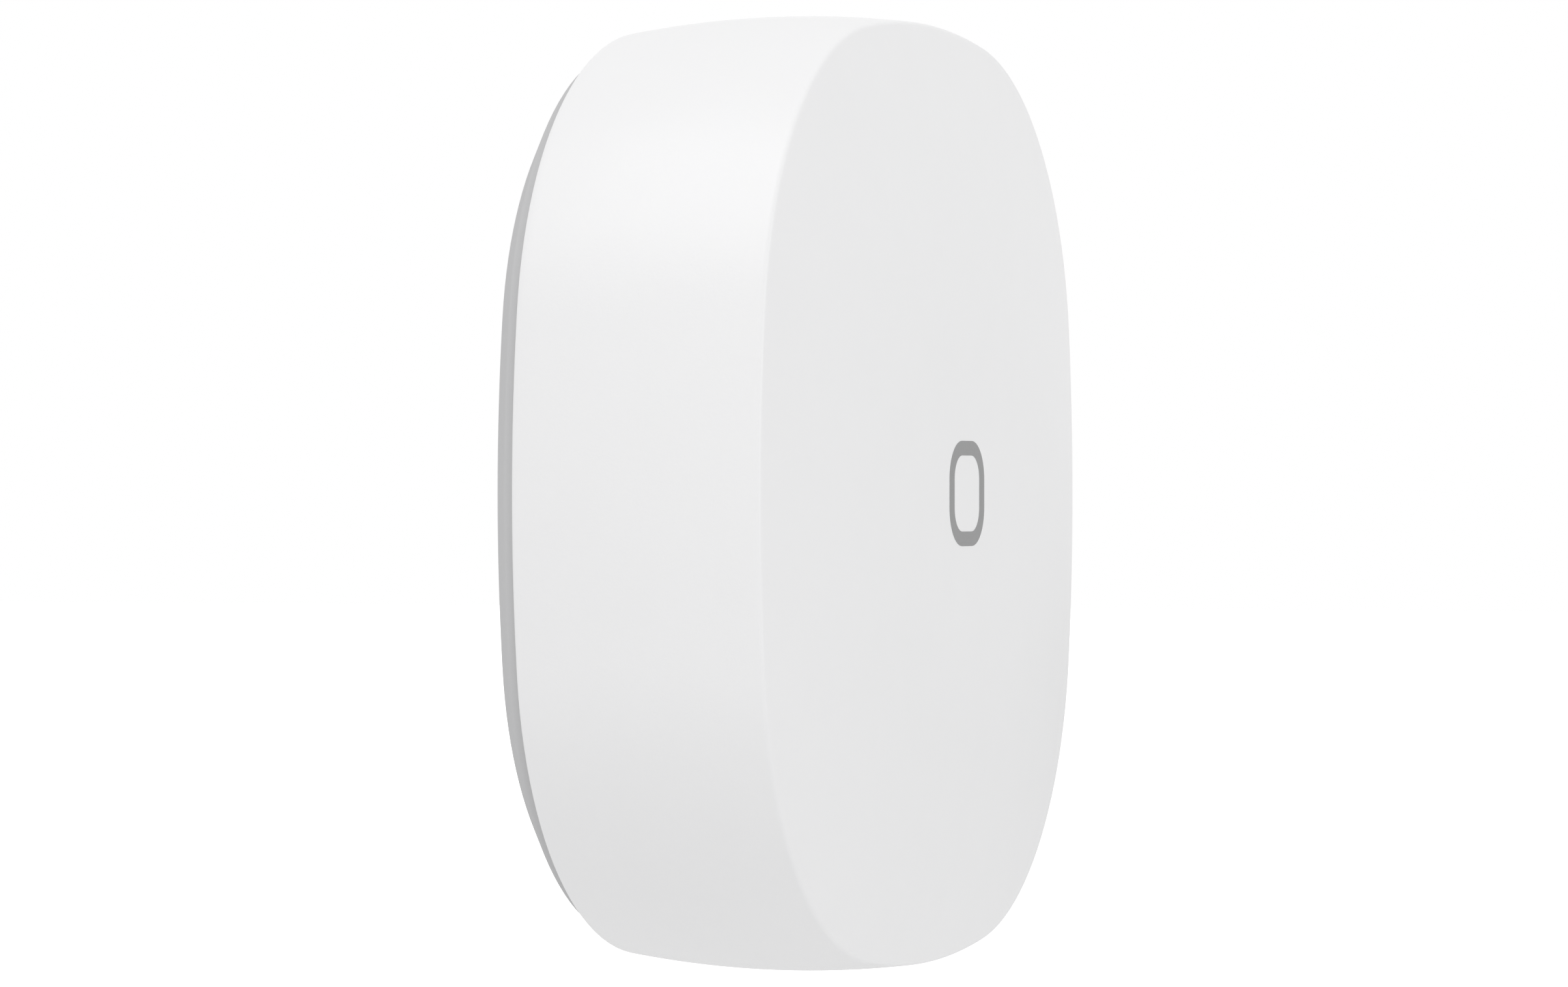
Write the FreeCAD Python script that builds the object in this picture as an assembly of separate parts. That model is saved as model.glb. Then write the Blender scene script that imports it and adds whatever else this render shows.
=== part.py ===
import FreeCAD, Part
import math
import os

# Smart button: a rounded square push cap over a grey rear cover that holds to a wall by magnets.
# Every piece is drawn lying on its back, with depth measured upward from the wall,
# and is stood up when it is saved: +X right, +Z up, and the face looks along -Y.

# Push cap, the white shell that is the whole button
cap_edge_half_width = 19.68       # at the crease between side wall and face
cap_rear_taper = 0.18             # the rim is this much further in
cap_side_bow = 0.40               # how far the side wall swells between rim and crease
side_arc_radius = 52.9            # long side arcs of the crease outline
corner_arc_radius = 13.83         # corner arcs of the crease outline
cap_side_depth = 10.71            # from the rim to the crease, which lies in one plane
dome_height = 1.79                # crown above the crease
dome_power = 2.2                  # how late the dome falls away
crown_share = 0.12                # flat middle of the dome, as a share of the outline
crease_rounding = 0.25
rim_rounding = 0.42
cap_wall = 1.40
face_thickness = 1.30
ceiling_flat_share = 0.35         # level middle of the face's underside
cap_lip_wall = 0.52               # thin lip at the rim, outside the cover's wall
press_travel = 0.20
press_gap = 0.30                  # above the cover, hidden behind the lip

# Printed ring at the middle of the face
ring_half_width = 2.20
ring_line_width = 0.61
ring_corner_radius = 1.60
ink_thickness = 0.03

# Rear cover
cover_inset = 0.65                # its wall lies this far inside the cap's rim
cover_flank_run = 1.45            # how far the flank slopes out
cover_ridge_depth = 0.90
cover_wall_rise = 0.60            # straight wall above the ridge
cover_lip_overlap = 0.09          # the cap's lip reaches this far down over that wall
cover_floor = 1.10
cover_back_rounding = 0.25
lip_gap = 0.50                    # snap lip to the inside of the cap
lip_wall = 0.80
lip_top = 4.50
bead_length = 6.0
bead_height = 0.20
pry_notch_length = 8.0
pry_notch_depth = 0.55

# Magnets in the cover's corners
magnet_radius = 2.20
magnet_thickness = 0.80
magnet_floor = 0.60
magnet_play = 0.05
magnet_collar_wall = 0.45
magnet_lip_gap = 0.68

# Coin cell
cell_radius = 12.25
cell_height = 5.00
cell_pad_radius = 7.5
cell_pad_thickness = 0.40
cell_rim_width = 1.00             # of the can, round the seal
cell_seal_width = 0.35
cell_cap_rise = 0.25
cell_seal_depth = 0.55
cell_edge_chamfer = 0.20
cell_play = 0.30

# Chassis
slide_gap = 0.30                  # chassis skirt to the cover's lip
bead_play = 0.15
skirt_wall = 0.90
skirt_start = 2.90
deck_wall = 1.00
deck_rise = 0.80                  # deck wall above the board's top
shoulder_thickness = 0.80
web_thickness = 0.80
web_gap = 0.30                    # web to the cell
bay_wall = 0.80
gusset_thickness = 0.70
boss_radius = 1.50
corner_seat_margin = 2.38         # screws and pairing switch, in from the board's corners

# Cap hooks in the chassis
hook_width = 6.0
hook_arm = 0.80
hook_barb = 0.70
hook_barb_height = 0.80
hook_side_play = 0.30
hook_catch_play = 0.10
hook_wall_play = 0.20

# Stops under the cap's corner ribs
stop_pad_thickness = 0.50
stop_pad_length = 6.0
stop_gap = 0.25
rib_thickness = 0.70
rib_spread_degrees = 7.0

# Circuit board and what stands on it
board_thickness = 0.80
board_edge_play = 0.60
switch_width = 5.20
switch_base_height = 1.20
switch_cover_thickness = 0.20
switch_well_radius = 1.90
switch_well_depth = 0.80
plunger_radius = 1.10
plunger_rise = 0.90               # above the switch's base
plunger_flange_radius = 1.50
plunger_flange_height = 0.35
plunger_play = 0.12
dome_thickness = 0.08
dome_rise = 0.28
cap_post_radius = 1.90
screw_radius = 0.62
screw_play = 0.08
screw_head_radius = 1.25
screw_head_height = 0.65
screw_length = 3.4                # under the head
shield_length = 9.0
shield_width = 7.4
shield_height = 1.50
shield_wall = 0.20
radio_chip_width = 5.0
radio_chip_height = 0.75
part_gap = 0.50                   # between neighbours on the board
crystal_length = 3.2
crystal_width = 1.6
crystal_height = 0.8
crystal_chamfer = 0.15
capacitor_length = 1.0
capacitor_width = 0.5
capacitor_pitch = 2.0
capacitor_row_count = 6
capacitor_column_count = 3
led_length = 1.6
led_width = 0.8
led_height = 0.6
led_rounding = 0.12
sensor_width = 2.0
sensor_height = 0.7
sensor_edge_gap = 2.5
terminal_length = 0.9
terminal_width = 0.7
terminal_thickness = 0.15
terminal_spread = 3.2
antenna_track = 0.6
antenna_thickness = 0.05
antenna_screw_gap = 0.90
antenna_edge_gap = 2.80           # from the board's upper edge
antenna_height = 4.0
antenna_feed_gap = 1.8
antenna_tail = 2.4
sheet_thickness = 0.20            # battery contacts
contact_width = 3.6
contact_play = 0.08
contact_bow = 1.4                 # half the height of the side contact's bow
leaf_base_length = 3.0
leaf_tip_length = 1.0
leaf_slit = 0.7
pairing_width = 3.0
pairing_height = 1.20
pairing_plunger_radius = 0.70
pairing_plunger_rise = 0.50
pairing_travel = 0.25

# Widths and depths that follow from the sizes above
cover_top = cover_ridge_depth + cover_wall_rise
cap_rim_depth = cover_top - cover_lip_overlap
cap_edge_depth = cap_rim_depth + cap_side_depth
crown_depth = cap_edge_depth + dome_height
cap_rear_half_width = cap_edge_half_width - cap_rear_taper
cap_inner_half_width = cap_rear_half_width - cap_wall
cover_half_width = cap_rear_half_width - cover_inset
cover_back_half_width = cover_half_width - cover_flank_run
lip_half_width = cap_inner_half_width - lip_gap
lip_inner_half_width = lip_half_width - lip_wall
skirt_half_width = lip_inner_half_width - slide_gap
cell_rear = cover_floor + cell_pad_thickness
cell_front = cell_rear + cell_height
cell_cap_radius = cell_radius - cell_rim_width - cell_seal_width
cell_rim_depth = cell_front - cell_cap_rise
cell_seat_depth = cell_rim_depth - cell_seal_depth
web_bottom = cell_front + web_gap
board_bottom = web_bottom + web_thickness
board_top = board_bottom + board_thickness
deck_top = board_top + deck_rise
deck_inner_half_width = lip_half_width - deck_wall
board_half_width = deck_inner_half_width - board_edge_play
bay_radius = cell_radius + cell_play
bay_outer_radius = bay_radius + bay_wall
switch_base_top = board_top + switch_base_height
plunger_top = switch_base_top + plunger_rise
screw_end = board_top - screw_length

same_place = 0.001                # closer than this counts as the same depth

SIDES = (0, 90, 180, 270)
CORNERS = (45, 135, 225, 315)
SCREW_CORNERS = (45, 135, 225)
PAIRING_CORNER = 315


def vec(x, y, z):
    return FreeCAD.Vector(x, y, z)


def turned(shape, degrees):
    """The same shape turned about the button's middle axis."""
    copy = shape.copy()
    copy.rotate(vec(0, 0, 0), vec(0, 0, 1), degrees)
    return copy


def block(x0, x1, y0, y1, z0, z1):
    return Part.makeBox(x1 - x0, y1 - y0, z1 - z0, vec(x0, y0, z0))


def rod(radius, z0, z1, x=0.0, y=0.0):
    return Part.makeCylinder(radius, z1 - z0, vec(x, y, z0))


def on_diagonal(radius, degrees):
    angle = math.radians(degrees)
    return radius * math.cos(angle), radius * math.sin(angle)


def joined(first, others):
    return first.fuse(others).removeSplitter()


def arc(cx, cy, radius, start, end, depth):
    """Arc edge about (cx, cy) between two angles in radians."""
    points = []
    for angle in (start, (start + end) / 2, end):
        points.append(vec(cx + radius * math.cos(angle), cy + radius * math.sin(angle), depth))
    return Part.Arc(*points).toShape()


def corner_layout(half_width, side_radius, corner_radius):
    """Centres of the first side arc and corner arc, and the angle where they meet."""
    side_centre = half_width - side_radius
    reach = side_radius - corner_radius
    root = math.sqrt(4 * side_centre ** 2 - 8 * (side_centre ** 2 - reach ** 2))
    corner_centre = (2 * side_centre + root) / 4
    turn = math.atan2(corner_centre, corner_centre - side_centre)
    return side_centre, corner_centre, turn


def outline_arcs(half_width, side_radius, corner_radius):
    """Four long side arcs and four corner arcs, each tangent to the next: centre, radius, angles."""
    side_centre, corner_centre, turn = corner_layout(half_width, side_radius, corner_radius)
    arcs = []
    for quarter in range(4):
        start = quarter * math.pi / 2
        side_x, side_y = side_centre * math.cos(start), side_centre * math.sin(start)
        arcs.append((side_x, side_y, side_radius, start - turn, start + turn))
        corner_x, corner_y = on_diagonal(corner_centre * math.sqrt(2), 45 + 90 * quarter)
        arcs.append((corner_x, corner_y, corner_radius, start + turn, start + math.pi / 2 - turn))
    return arcs


def arcs_of(half_width):
    """Arcs of the crease outline moved in or out to another half width."""
    inset = cap_edge_half_width - half_width
    return outline_arcs(half_width, side_arc_radius - inset, corner_arc_radius - inset)


def outline(half_width, depth):
    return Part.Wire([arc(*place, depth) for place in arcs_of(half_width)])


def corner_reach(half_width):
    """Distance from the middle to an outline's corner."""
    x, y, radius = arcs_of(half_width)[1][:3]
    return math.hypot(x, y) + radius


def slab(half_width, z0, z1):
    return Part.Face(outline(half_width, z0)).extrude(vec(0, 0, z1 - z0))


def ring_wall(half_width, wall, z0, z1):
    return slab(half_width, z0, z1).cut(slab(half_width - wall, z0, z1))


def round_wall(radius, wall, z0, z1):
    return rod(radius, z0, z1).cut(rod(radius - wall, z0, z1))


def edges_at_depth(shape, depth):
    """Edges that lie wholly at one depth."""
    found = []
    for edge in shape.Edges:
        box = edge.BoundBox
        if abs(box.ZMin - depth) < same_place and abs(box.ZMax - depth) < same_place:
            found.append(edge)
    return found


def rounding(corner, before, after, radius):
    """Start, middle and end of the arc that rounds a corner of a (half width, depth) outline."""
    corner = vec(*corner, 0)
    back = (vec(*before, 0) - corner).normalize()
    ahead = (vec(*after, 0) - corner).normalize()
    half = back.getAngle(ahead) / 2
    along = radius / math.tan(half)
    bisector = (back + ahead).normalize()
    middle = corner + bisector * (radius / math.sin(half) - radius)
    points = []
    for point in (corner + back * along, middle, corner + ahead * along):
        points.append((point.x, point.y))
    return points


def band(points):
    """Faces swept round the outline by a line or an arc through (half width, depth) points."""
    faces = []
    for x, y, radius, start, end in arcs_of(points[0][0]):
        spots = []
        for half_width, depth in points:
            reach = radius + half_width - points[0][0]
            spots.append(vec(x + reach * math.cos(start), y + reach * math.sin(start), depth))
        if len(spots) == 2:
            edge = Part.LineSegment(*spots).toShape()
        else:
            edge = Part.Arc(*spots).toShape()
        faces += edge.revolve(vec(x, y, 0), vec(0, 0, 1), math.degrees(end - start)).Faces
    return faces


def level(half_width, depth):
    """Flat face that fills the outline."""
    return [Part.Face(outline(half_width, depth))]


def solid_of(faces):
    shell = Part.makeShell(faces)
    shell.sewShape()
    return Part.Solid(shell)


# Positions on the diagonals
screw_ring_radius = corner_reach(board_half_width) - corner_seat_margin
magnet_ring_radius = (corner_reach(lip_inner_half_width) - magnet_lip_gap - magnet_collar_wall
                      - magnet_play - magnet_radius)
screw_place = on_diagonal(screw_ring_radius, 45)[0]
shield_x = -(switch_width + shield_length) / 2 - part_gap
shield_y = screw_place - screw_head_radius - part_gap - shield_width / 2
crystal_y = shield_y - shield_width / 2 - part_gap - crystal_width / 2

# Push cap


def cap_half_width(depth):
    """Half width of the bowed side wall at one depth."""
    t = (depth - cap_rim_depth) / cap_side_depth
    straight = cap_rear_half_width + cap_rear_taper * t
    return straight + 4 * cap_side_bow * t * (1 - t)


def dome(half_width, foot):
    """Faces of the crown: each leaves the foot at a slope and runs level into the flat middle."""
    rise = crown_depth - foot
    run = 1 - crown_share
    handle = run / dome_power
    shares = (1.0, 1.0 - handle, crown_share + handle, crown_share)
    depths = (foot, crown_depth, crown_depth, crown_depth)
    faces = []
    for x, y, radius, start, end in arcs_of(half_width):
        middle = (start + end) / 2
        weight = math.cos((end - start) / 2)
        spots = []
        for angle, reach in ((start, radius), (middle, radius / weight), (end, radius)):
            spots.append((x + reach * math.cos(angle), y + reach * math.sin(angle)))
        surface = Part.BSplineSurface()
        poles = [[vec(px * share, py * share, depth) for share, depth in zip(shares, depths)]
                 for px, py in spots]
        weights = [[1.0] * 4, [weight] * 4, [1.0] * 4]
        surface.buildFromPolesMultsKnots(poles, (3, 3), (4, 4), (0, 1), (0, 1), False, False, 2, 3, weights)
        faces.append(surface.toShape())
    return faces


def cap_solid():
    """Rounded rim, bowed side wall, rounded crease and dome, all in one skin."""
    rim = (cap_rear_half_width, cap_rim_depth)
    above_rim = (cap_half_width(cap_rim_depth + rim_rounding), cap_rim_depth + rim_rounding)
    rim_points = rounding(rim, (cap_inner_half_width, cap_rim_depth), above_rim, rim_rounding)
    crease = (cap_edge_half_width, cap_edge_depth)
    below_depth = cap_edge_depth - crease_rounding
    foot_slope = dome_height * dome_power / (1 - crown_share)
    inward = (0, cap_edge_depth + foot_slope)
    crease_points = rounding(crease, (cap_half_width(below_depth), below_depth), inward, crease_rounding)
    first, last = rim_points[-1], crease_points[0]
    middle_depth = (first[1] + last[1]) / 2
    side_points = [first, (cap_half_width(middle_depth), middle_depth), last]
    foot_half_width, foot = crease_points[-1]
    crown_face = Part.Face(Part.Wire([arc(x * crown_share, y * crown_share, radius * crown_share,
                                          start, end, crown_depth)
                                      for x, y, radius, start, end in arcs_of(foot_half_width)]))
    faces = level(*rim_points[0]) + band(rim_points) + band(side_points) + band(crease_points)
    return solid_of(faces + dome(foot_half_width, foot) + [crown_face])


def ceiling(extra):
    """What lies under the face: a shallow cone that ends in a flat middle, or higher by an extra."""
    foot = cap_edge_depth - face_thickness + extra
    top = crown_depth - face_thickness + extra
    far = corner_reach(cap_inner_half_width)
    cone = Part.makeCone(far, far * ceiling_flat_share, top - foot, vec(0, 0, foot))
    return rod(far, cap_rim_depth, foot).fuse(cone)


def cap_hollow():
    """Straight inside wall up to the ceiling, with a wider step behind the rim's lip."""
    step_top = cover_top + press_gap
    step = slab(cap_rear_half_width - cap_lip_wall, cap_rim_depth, step_top)
    inside = slab(cap_inner_half_width, cap_rim_depth, crown_depth)
    return inside.common(ceiling(0)).fuse(step)


def cap_hook():
    """Snap arm with a barb that catches under the edge of the chassis web."""
    arm_outer = lip_half_width
    arm_inner = arm_outer - hook_arm
    barb_top = web_bottom - hook_catch_play
    barb_bottom = barb_top - hook_barb_height
    half = hook_width / 2
    arm = block(arm_inner, arm_outer, -half, half, barb_bottom, crown_depth)
    root_depth = deck_top + stop_gap + press_travel
    tip = arm_inner - hook_barb
    nose = Part.makePolygon([
        vec(arm_inner, -half, barb_bottom),
        vec(arm_inner, -half, barb_top),
        vec(tip, -half, barb_top),
        vec(tip, -half, barb_top - hook_barb_height / 3),
        vec(arm_inner, -half, barb_bottom),
    ])
    barb = Part.Face(nose).extrude(vec(0, hook_width, 0))
    root = block(arm_inner, cap_edge_half_width, -half, half, root_depth, crown_depth)
    return arm.fuse([barb, root])


def cap_corner_rib(degrees):
    """Radial blade that lands on a stop pad when the cap is pressed."""
    start = corner_reach(deck_inner_half_width) - deck_wall
    lowest = deck_top + stop_pad_thickness + stop_gap
    half = rib_thickness / 2
    blade = block(start, corner_reach(cap_edge_half_width), -half, half, lowest, crown_depth)
    return turned(blade, degrees)


def cap_ceiling_rib(degrees):
    """Shallow blade from the post to the hook's root, under the face."""
    half = rib_thickness / 2
    foot = cap_edge_depth - face_thickness
    blade = block(0, lip_half_width, -half, half, foot, crown_depth)
    return turned(blade, degrees)


def push_cap():
    inside = [rod(cap_post_radius, plunger_top, crown_depth)]
    for side in SIDES:
        inside.append(turned(cap_hook(), side))
        inside.append(cap_ceiling_rib(side))
    for corner in CORNERS:
        for spread in (-rib_spread_degrees, 0, rib_spread_degrees):
            inside.append(cap_corner_rib(corner + spread))
    shell = cap_solid().cut(cap_hollow())
    within = slab(cap_inner_half_width + cap_wall / 2, cap_rim_depth, crown_depth)
    within = within.common(ceiling(face_thickness / 2))
    return joined(shell, [piece.common(within) for piece in inside])


def rounded_plate(half_width, corner_radius, z0, z1):
    """Square plate with round corners."""
    plate = block(-half_width, half_width, -half_width, half_width, z0, z1)
    upright = [edge for edge in plate.Edges if edge.BoundBox.ZLength > (z1 - z0) / 2]
    return plate.makeFillet(corner_radius, upright)


def printed_ring():
    outer = rounded_plate(ring_half_width, ring_corner_radius, crown_depth, crown_depth + ink_thickness)
    inner_radius = ring_corner_radius - ring_line_width
    inner_half = ring_half_width - ring_line_width
    inner = rounded_plate(inner_half, inner_radius, crown_depth, crown_depth + ink_thickness)
    return outer.cut(inner)


# Rear cover


def cover_bead(degrees):
    """Rounded bead inside the lip that holds the chassis skirt."""
    depth = (skirt_start + lip_top) / 2
    radius = bead_height * 2
    centre = lip_inner_half_width - bead_height + radius
    bead = Part.makeCylinder(radius, bead_length, vec(centre, -bead_length / 2, depth), vec(0, 1, 0))
    reach = lip_half_width - lip_wall / 2
    bead = bead.common(block(0, reach, -bead_length, bead_length, 0, cap_edge_depth))
    return turned(bead, degrees)


def pry_notch():
    """Thumbnail notch in the lower edge, to lift the button off with a coin."""
    radius = (pry_notch_length ** 2 / 4 + pry_notch_depth ** 2) / (2 * pry_notch_depth)
    centre = pry_notch_depth - cover_back_half_width - radius
    return rod(radius, 0, cover_floor / 2, 0, centre)


def rear_cover():
    back = (cover_back_half_width, 0)
    ridge = (cover_half_width, cover_ridge_depth)
    back_points = rounding(back, (0, 0), ridge, cover_back_rounding)
    faces = level(*back_points[0]) + band(back_points) + band([back_points[-1], ridge])
    faces += band([ridge, (cover_half_width, cover_top)]) + level(cover_half_width, cover_top)
    body = joined(solid_of(faces), [slab(lip_half_width, cover_ridge_depth, lip_top)])
    body = body.cut(slab(lip_inner_half_width, cover_floor, lip_top))
    extra = []
    pockets = []
    bore = magnet_radius + magnet_play
    for corner in CORNERS:
        x, y = on_diagonal(magnet_ring_radius, corner)
        extra.append(rod(bore + magnet_collar_wall, cover_floor / 2, cell_rear, x, y))
        pockets.append(rod(bore, magnet_floor, cell_rear, x, y))
    for side in SIDES:
        extra.append(cover_bead(side))
    return joined(body, extra).cut(pockets + [pry_notch()])


def cover_magnets():
    magnets = []
    for corner in CORNERS:
        x, y = on_diagonal(magnet_ring_radius, corner)
        magnets.append(rod(magnet_radius, magnet_floor, magnet_floor + magnet_thickness, x, y))
    return Part.makeCompound(magnets)


def cell_pad():
    return rod(cell_pad_radius, cover_floor, cell_rear)


# Coin cell


def cell_can():
    """Steel can, open towards the board where the seal and the cap sit."""
    can = rod(cell_radius, cell_rear, cell_rim_depth)
    outside = edges_at_depth(can, cell_rear) + edges_at_depth(can, cell_rim_depth)
    can = can.makeChamfer(cell_edge_chamfer, outside)
    return can.cut(rod(cell_cap_radius + cell_seal_width, cell_seat_depth, cell_rim_depth))


def cell_seal():
    return round_wall(cell_cap_radius + cell_seal_width, cell_seal_width, cell_seat_depth, cell_rim_depth)


def cell_cap():
    cap = rod(cell_cap_radius, cell_seat_depth, cell_front)
    return cap.makeChamfer(cell_edge_chamfer, edges_at_depth(cap, cell_front))


# Chassis


def hook_notch():
    """Slot in the deck wall that a cap hook runs in, with a pocket under the web for its barb."""
    half = hook_width / 2 + hook_side_play
    inner = lip_half_width - hook_arm - hook_wall_play
    low = lip_top + shoulder_thickness
    slot = block(inner, cap_edge_half_width, -half, half, low, deck_top)
    pocket = block(inner - hook_barb, inner, -half, half, low, web_bottom)
    return slot.fuse(pocket)


def bead_groove():
    half = bead_length / 2 + hook_side_play
    inner = lip_inner_half_width - bead_height - bead_play
    return block(inner, skirt_half_width + slide_gap, -half, half, skirt_start, lip_top)


def gusset(degrees):
    half = gusset_thickness / 2
    inner = bay_outer_radius - bay_wall / 2
    blade = block(inner, corner_reach(lip_half_width), -half, half, skirt_start + bay_wall, web_bottom)
    return turned(blade, degrees)


def contact_slot():
    """Window in the bay wall and web for the side contact."""
    half = contact_width / 2 + cell_play
    outer = bay_outer_radius + sheet_thickness
    return block(bay_radius - cell_play / 2, outer, -half, half, skirt_start, board_bottom)


def leaf_window():
    half = contact_width / 2 + cell_play
    return block(-cell_cap_radius / 2, cell_cap_radius / 2, -half, half, web_bottom, board_bottom)


def pairing_window():
    """Room in the web for the pairing switch, and round its button below."""
    half = pairing_width / 2 + cell_play
    low = board_bottom - pairing_height - cell_play
    end = low - pairing_plunger_rise - pairing_travel
    window = block(-half, half, -half, half, low, board_bottom)
    return pairing_place(window.fuse(rod(pairing_plunger_radius + cell_play, end, low)))


def chassis():
    skirt = ring_wall(skirt_half_width, skirt_wall, skirt_start, lip_top)
    shoulder = ring_wall(lip_half_width, lip_half_width - skirt_half_width + skirt_wall,
                         lip_top, lip_top + shoulder_thickness)
    deck = ring_wall(lip_half_width, deck_wall, lip_top, deck_top)
    web = slab(lip_half_width - deck_wall / 2, web_bottom, board_bottom)
    bay = round_wall(bay_outer_radius, bay_wall, skirt_start, board_bottom)
    blades = []
    for side in SIDES:
        blades.append(gusset(side + 22.5))
        blades.append(gusset(side + 67.5))
    inside = slab(lip_half_width - deck_wall / 2, lip_top, web_bottom + web_thickness)
    inside = inside.fuse(slab(skirt_half_width - skirt_wall / 2, skirt_start, lip_top))
    ribs = [blade.common(inside) for blade in blades]
    bosses = []
    holes = []
    for corner in SCREW_CORNERS:
        x, y = on_diagonal(screw_ring_radius, corner)
        bosses.append(rod(boss_radius, lip_top, web_bottom, x, y))
        holes.append(rod(screw_radius + screw_play, screw_end - screw_play, board_bottom, x, y))
    for side in SIDES:
        holes.append(turned(hook_notch(), side))
        holes.append(turned(bead_groove(), side))
    holes += [contact_slot(), leaf_window(), pairing_window()]
    body = skirt.fuse([shoulder, deck, web, bay] + ribs + bosses)
    return body.cut(holes).removeSplitter()


def stop_pads():
    """Silicone strips on the deck wall's top at the corners."""
    strip = ring_wall(lip_half_width, deck_wall, deck_top, deck_top + stop_pad_thickness)
    half = stop_pad_length / 2
    pads = []
    for corner in CORNERS:
        far = corner_reach(cap_edge_half_width)
        window = turned(block(0, far, -half, half, deck_top, crown_depth), corner)
        pads.append(strip.common(window))
    return Part.makeCompound(pads)


# Circuit board


def circuit_board():
    board = slab(board_half_width, board_bottom, board_top)
    holes = []
    for corner in SCREW_CORNERS:
        x, y = on_diagonal(screw_ring_radius, corner)
        holes.append(rod(screw_radius + screw_play, board_bottom, board_top, x, y))
    return board.cut(holes)


def board_screws():
    screws = []
    for corner in SCREW_CORNERS:
        x, y = on_diagonal(screw_ring_radius, corner)
        head = rod(screw_head_radius, board_top, board_top + screw_head_height, x, y)
        top = edges_at_depth(head, board_top + screw_head_height)
        head = head.makeChamfer(screw_head_height / 3, top)
        driver = screw_radius / 2
        depth = board_top + screw_head_height / 2
        cross = []
        for long, short in ((screw_radius, driver / 2), (driver / 2, screw_radius)):
            cross.append(block(x - long, x + long, y - short, y + short, depth, crown_depth))
        shank = rod(screw_radius, screw_end, board_top, x, y)
        screws.append(joined(head, [shank]).cut(cross))
    return Part.makeCompound(screws)


def chip(x, y, length, width, height):
    """Small part lying on the board."""
    place = vec(x - length / 2, y - width / 2, board_top)
    return Part.makeBox(length, width, height, place)


def radio_shield():
    """Drawn steel can, open towards the board."""
    can = chip(shield_x, shield_y, shield_length, shield_width, shield_height)
    upright = [edge for edge in can.Edges if edge.BoundBox.ZLength > shield_height / 2]
    can = can.makeFillet(shield_wall * 2, upright)
    inner_length = shield_length - shield_wall * 2
    inner_width = shield_width - shield_wall * 2
    return can.cut(chip(shield_x, shield_y, inner_length, inner_width, shield_height - shield_wall))


def radio_chip():
    return chip(shield_x, shield_y, radio_chip_width, radio_chip_width, radio_chip_height)


def antenna():
    """Copper inverted-F track at the board's upper edge."""
    left = switch_width / 2
    right = screw_place - screw_head_radius - antenna_screw_gap
    high = board_half_width - antenna_edge_gap
    low = high - antenna_height
    z0 = board_top
    z1 = board_top + antenna_thickness
    top = block(left, right, high - antenna_track, high, z0, z1)
    legs = []
    for x in (left, left + antenna_track + antenna_feed_gap):
        legs.append(block(x, x + antenna_track, low, high, z0, z1))
    legs.append(block(right - antenna_track, right, high - antenna_tail, high, z0, z1))
    return joined(top, legs)


def crystal():
    body = chip(shield_x, crystal_y, crystal_length, crystal_width, crystal_height)
    return body.makeChamfer(crystal_chamfer, edges_at_depth(body, board_top + crystal_height))


def capacitors():
    """A row below the crystal and a column to the right of the main switch."""
    placed = []
    row_y = -switch_width / 2 - terminal_length - part_gap
    row_x = shield_x - shield_length / 2
    for step in range(capacitor_row_count):
        x = row_x + capacitor_pitch * (step + 0.5)
        placed.append(chip(x, row_y, capacitor_length, capacitor_width, capacitor_width))
    column_x = switch_width / 2 + capacitor_pitch * 2
    for step in range(capacitor_column_count):
        y = capacitor_pitch * (step + 0.5)
        placed.append(chip(column_x, y, capacitor_length, capacitor_width, capacitor_width))
    return Part.makeCompound(placed)


def status_led():
    y = switch_width / 2 + terminal_length + part_gap + led_width / 2
    lens = chip(0, y, led_length, led_width, led_height)
    return lens.makeFillet(led_rounding, edges_at_depth(lens, board_top + led_height))


def temperature_sensor():
    x = board_half_width - sensor_edge_gap - sensor_width / 2
    return chip(x, -sensor_width, sensor_width, sensor_width, sensor_height)


# Main switch under the cap's post


def main_switch_base():
    half = switch_width / 2
    base = block(-half, half, -half, half, board_top, switch_base_top)
    corners = [edge for edge in base.Edges if edge.BoundBox.ZLength > switch_base_height / 2]
    base = base.makeChamfer(0.5, corners)
    return base.cut(rod(switch_well_radius, switch_base_top - switch_well_depth, switch_base_top))


def main_switch_cover():
    half = switch_width / 2
    top = switch_base_top + switch_cover_thickness
    plate = block(-half, half, -half, half, switch_base_top, top)
    corners = [edge for edge in plate.Edges if edge.BoundBox.ZLength > switch_cover_thickness / 2]
    plate = plate.makeChamfer(0.5, corners)
    tabs = []
    for side in (0, 180):
        tab = block(half, half + switch_cover_thickness, -0.8, 0.8, board_top + switch_base_height / 3, top)
        tabs.append(turned(tab, side))
    return joined(plate, tabs).cut(rod(plunger_radius + plunger_play, switch_base_top, top))


def main_switch_dome():
    """Thin snap dome on the floor of the switch's well."""
    radius = switch_well_radius - plunger_play
    sphere_radius = (radius ** 2 + dome_rise ** 2) / (2 * dome_rise)
    foot = switch_base_top - switch_well_depth
    centre = vec(0, 0, foot + dome_rise - sphere_radius)
    inner = Part.makeSphere(sphere_radius - dome_thickness, centre)
    shell = Part.makeSphere(sphere_radius, centre).cut(inner)
    return shell.common(rod(radius, foot, switch_base_top))


def main_switch_plunger():
    flange_top = switch_base_top - plunger_play
    flange = rod(plunger_flange_radius, flange_top - plunger_flange_height, flange_top)
    stem = rod(plunger_radius, flange_top, plunger_top)
    return joined(flange, [stem])


def main_switch_terminals():
    terminals = []
    half = switch_width / 2
    half_leg = terminal_width / 2
    top = board_top + terminal_thickness
    for side in (90, 270):
        for shift in (-terminal_spread / 2, terminal_spread / 2):
            leg = block(half, half + terminal_length, shift - half_leg, shift + half_leg, board_top, top)
            terminals.append(turned(leg, side))
    return Part.makeCompound(terminals)


# Battery contacts


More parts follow.
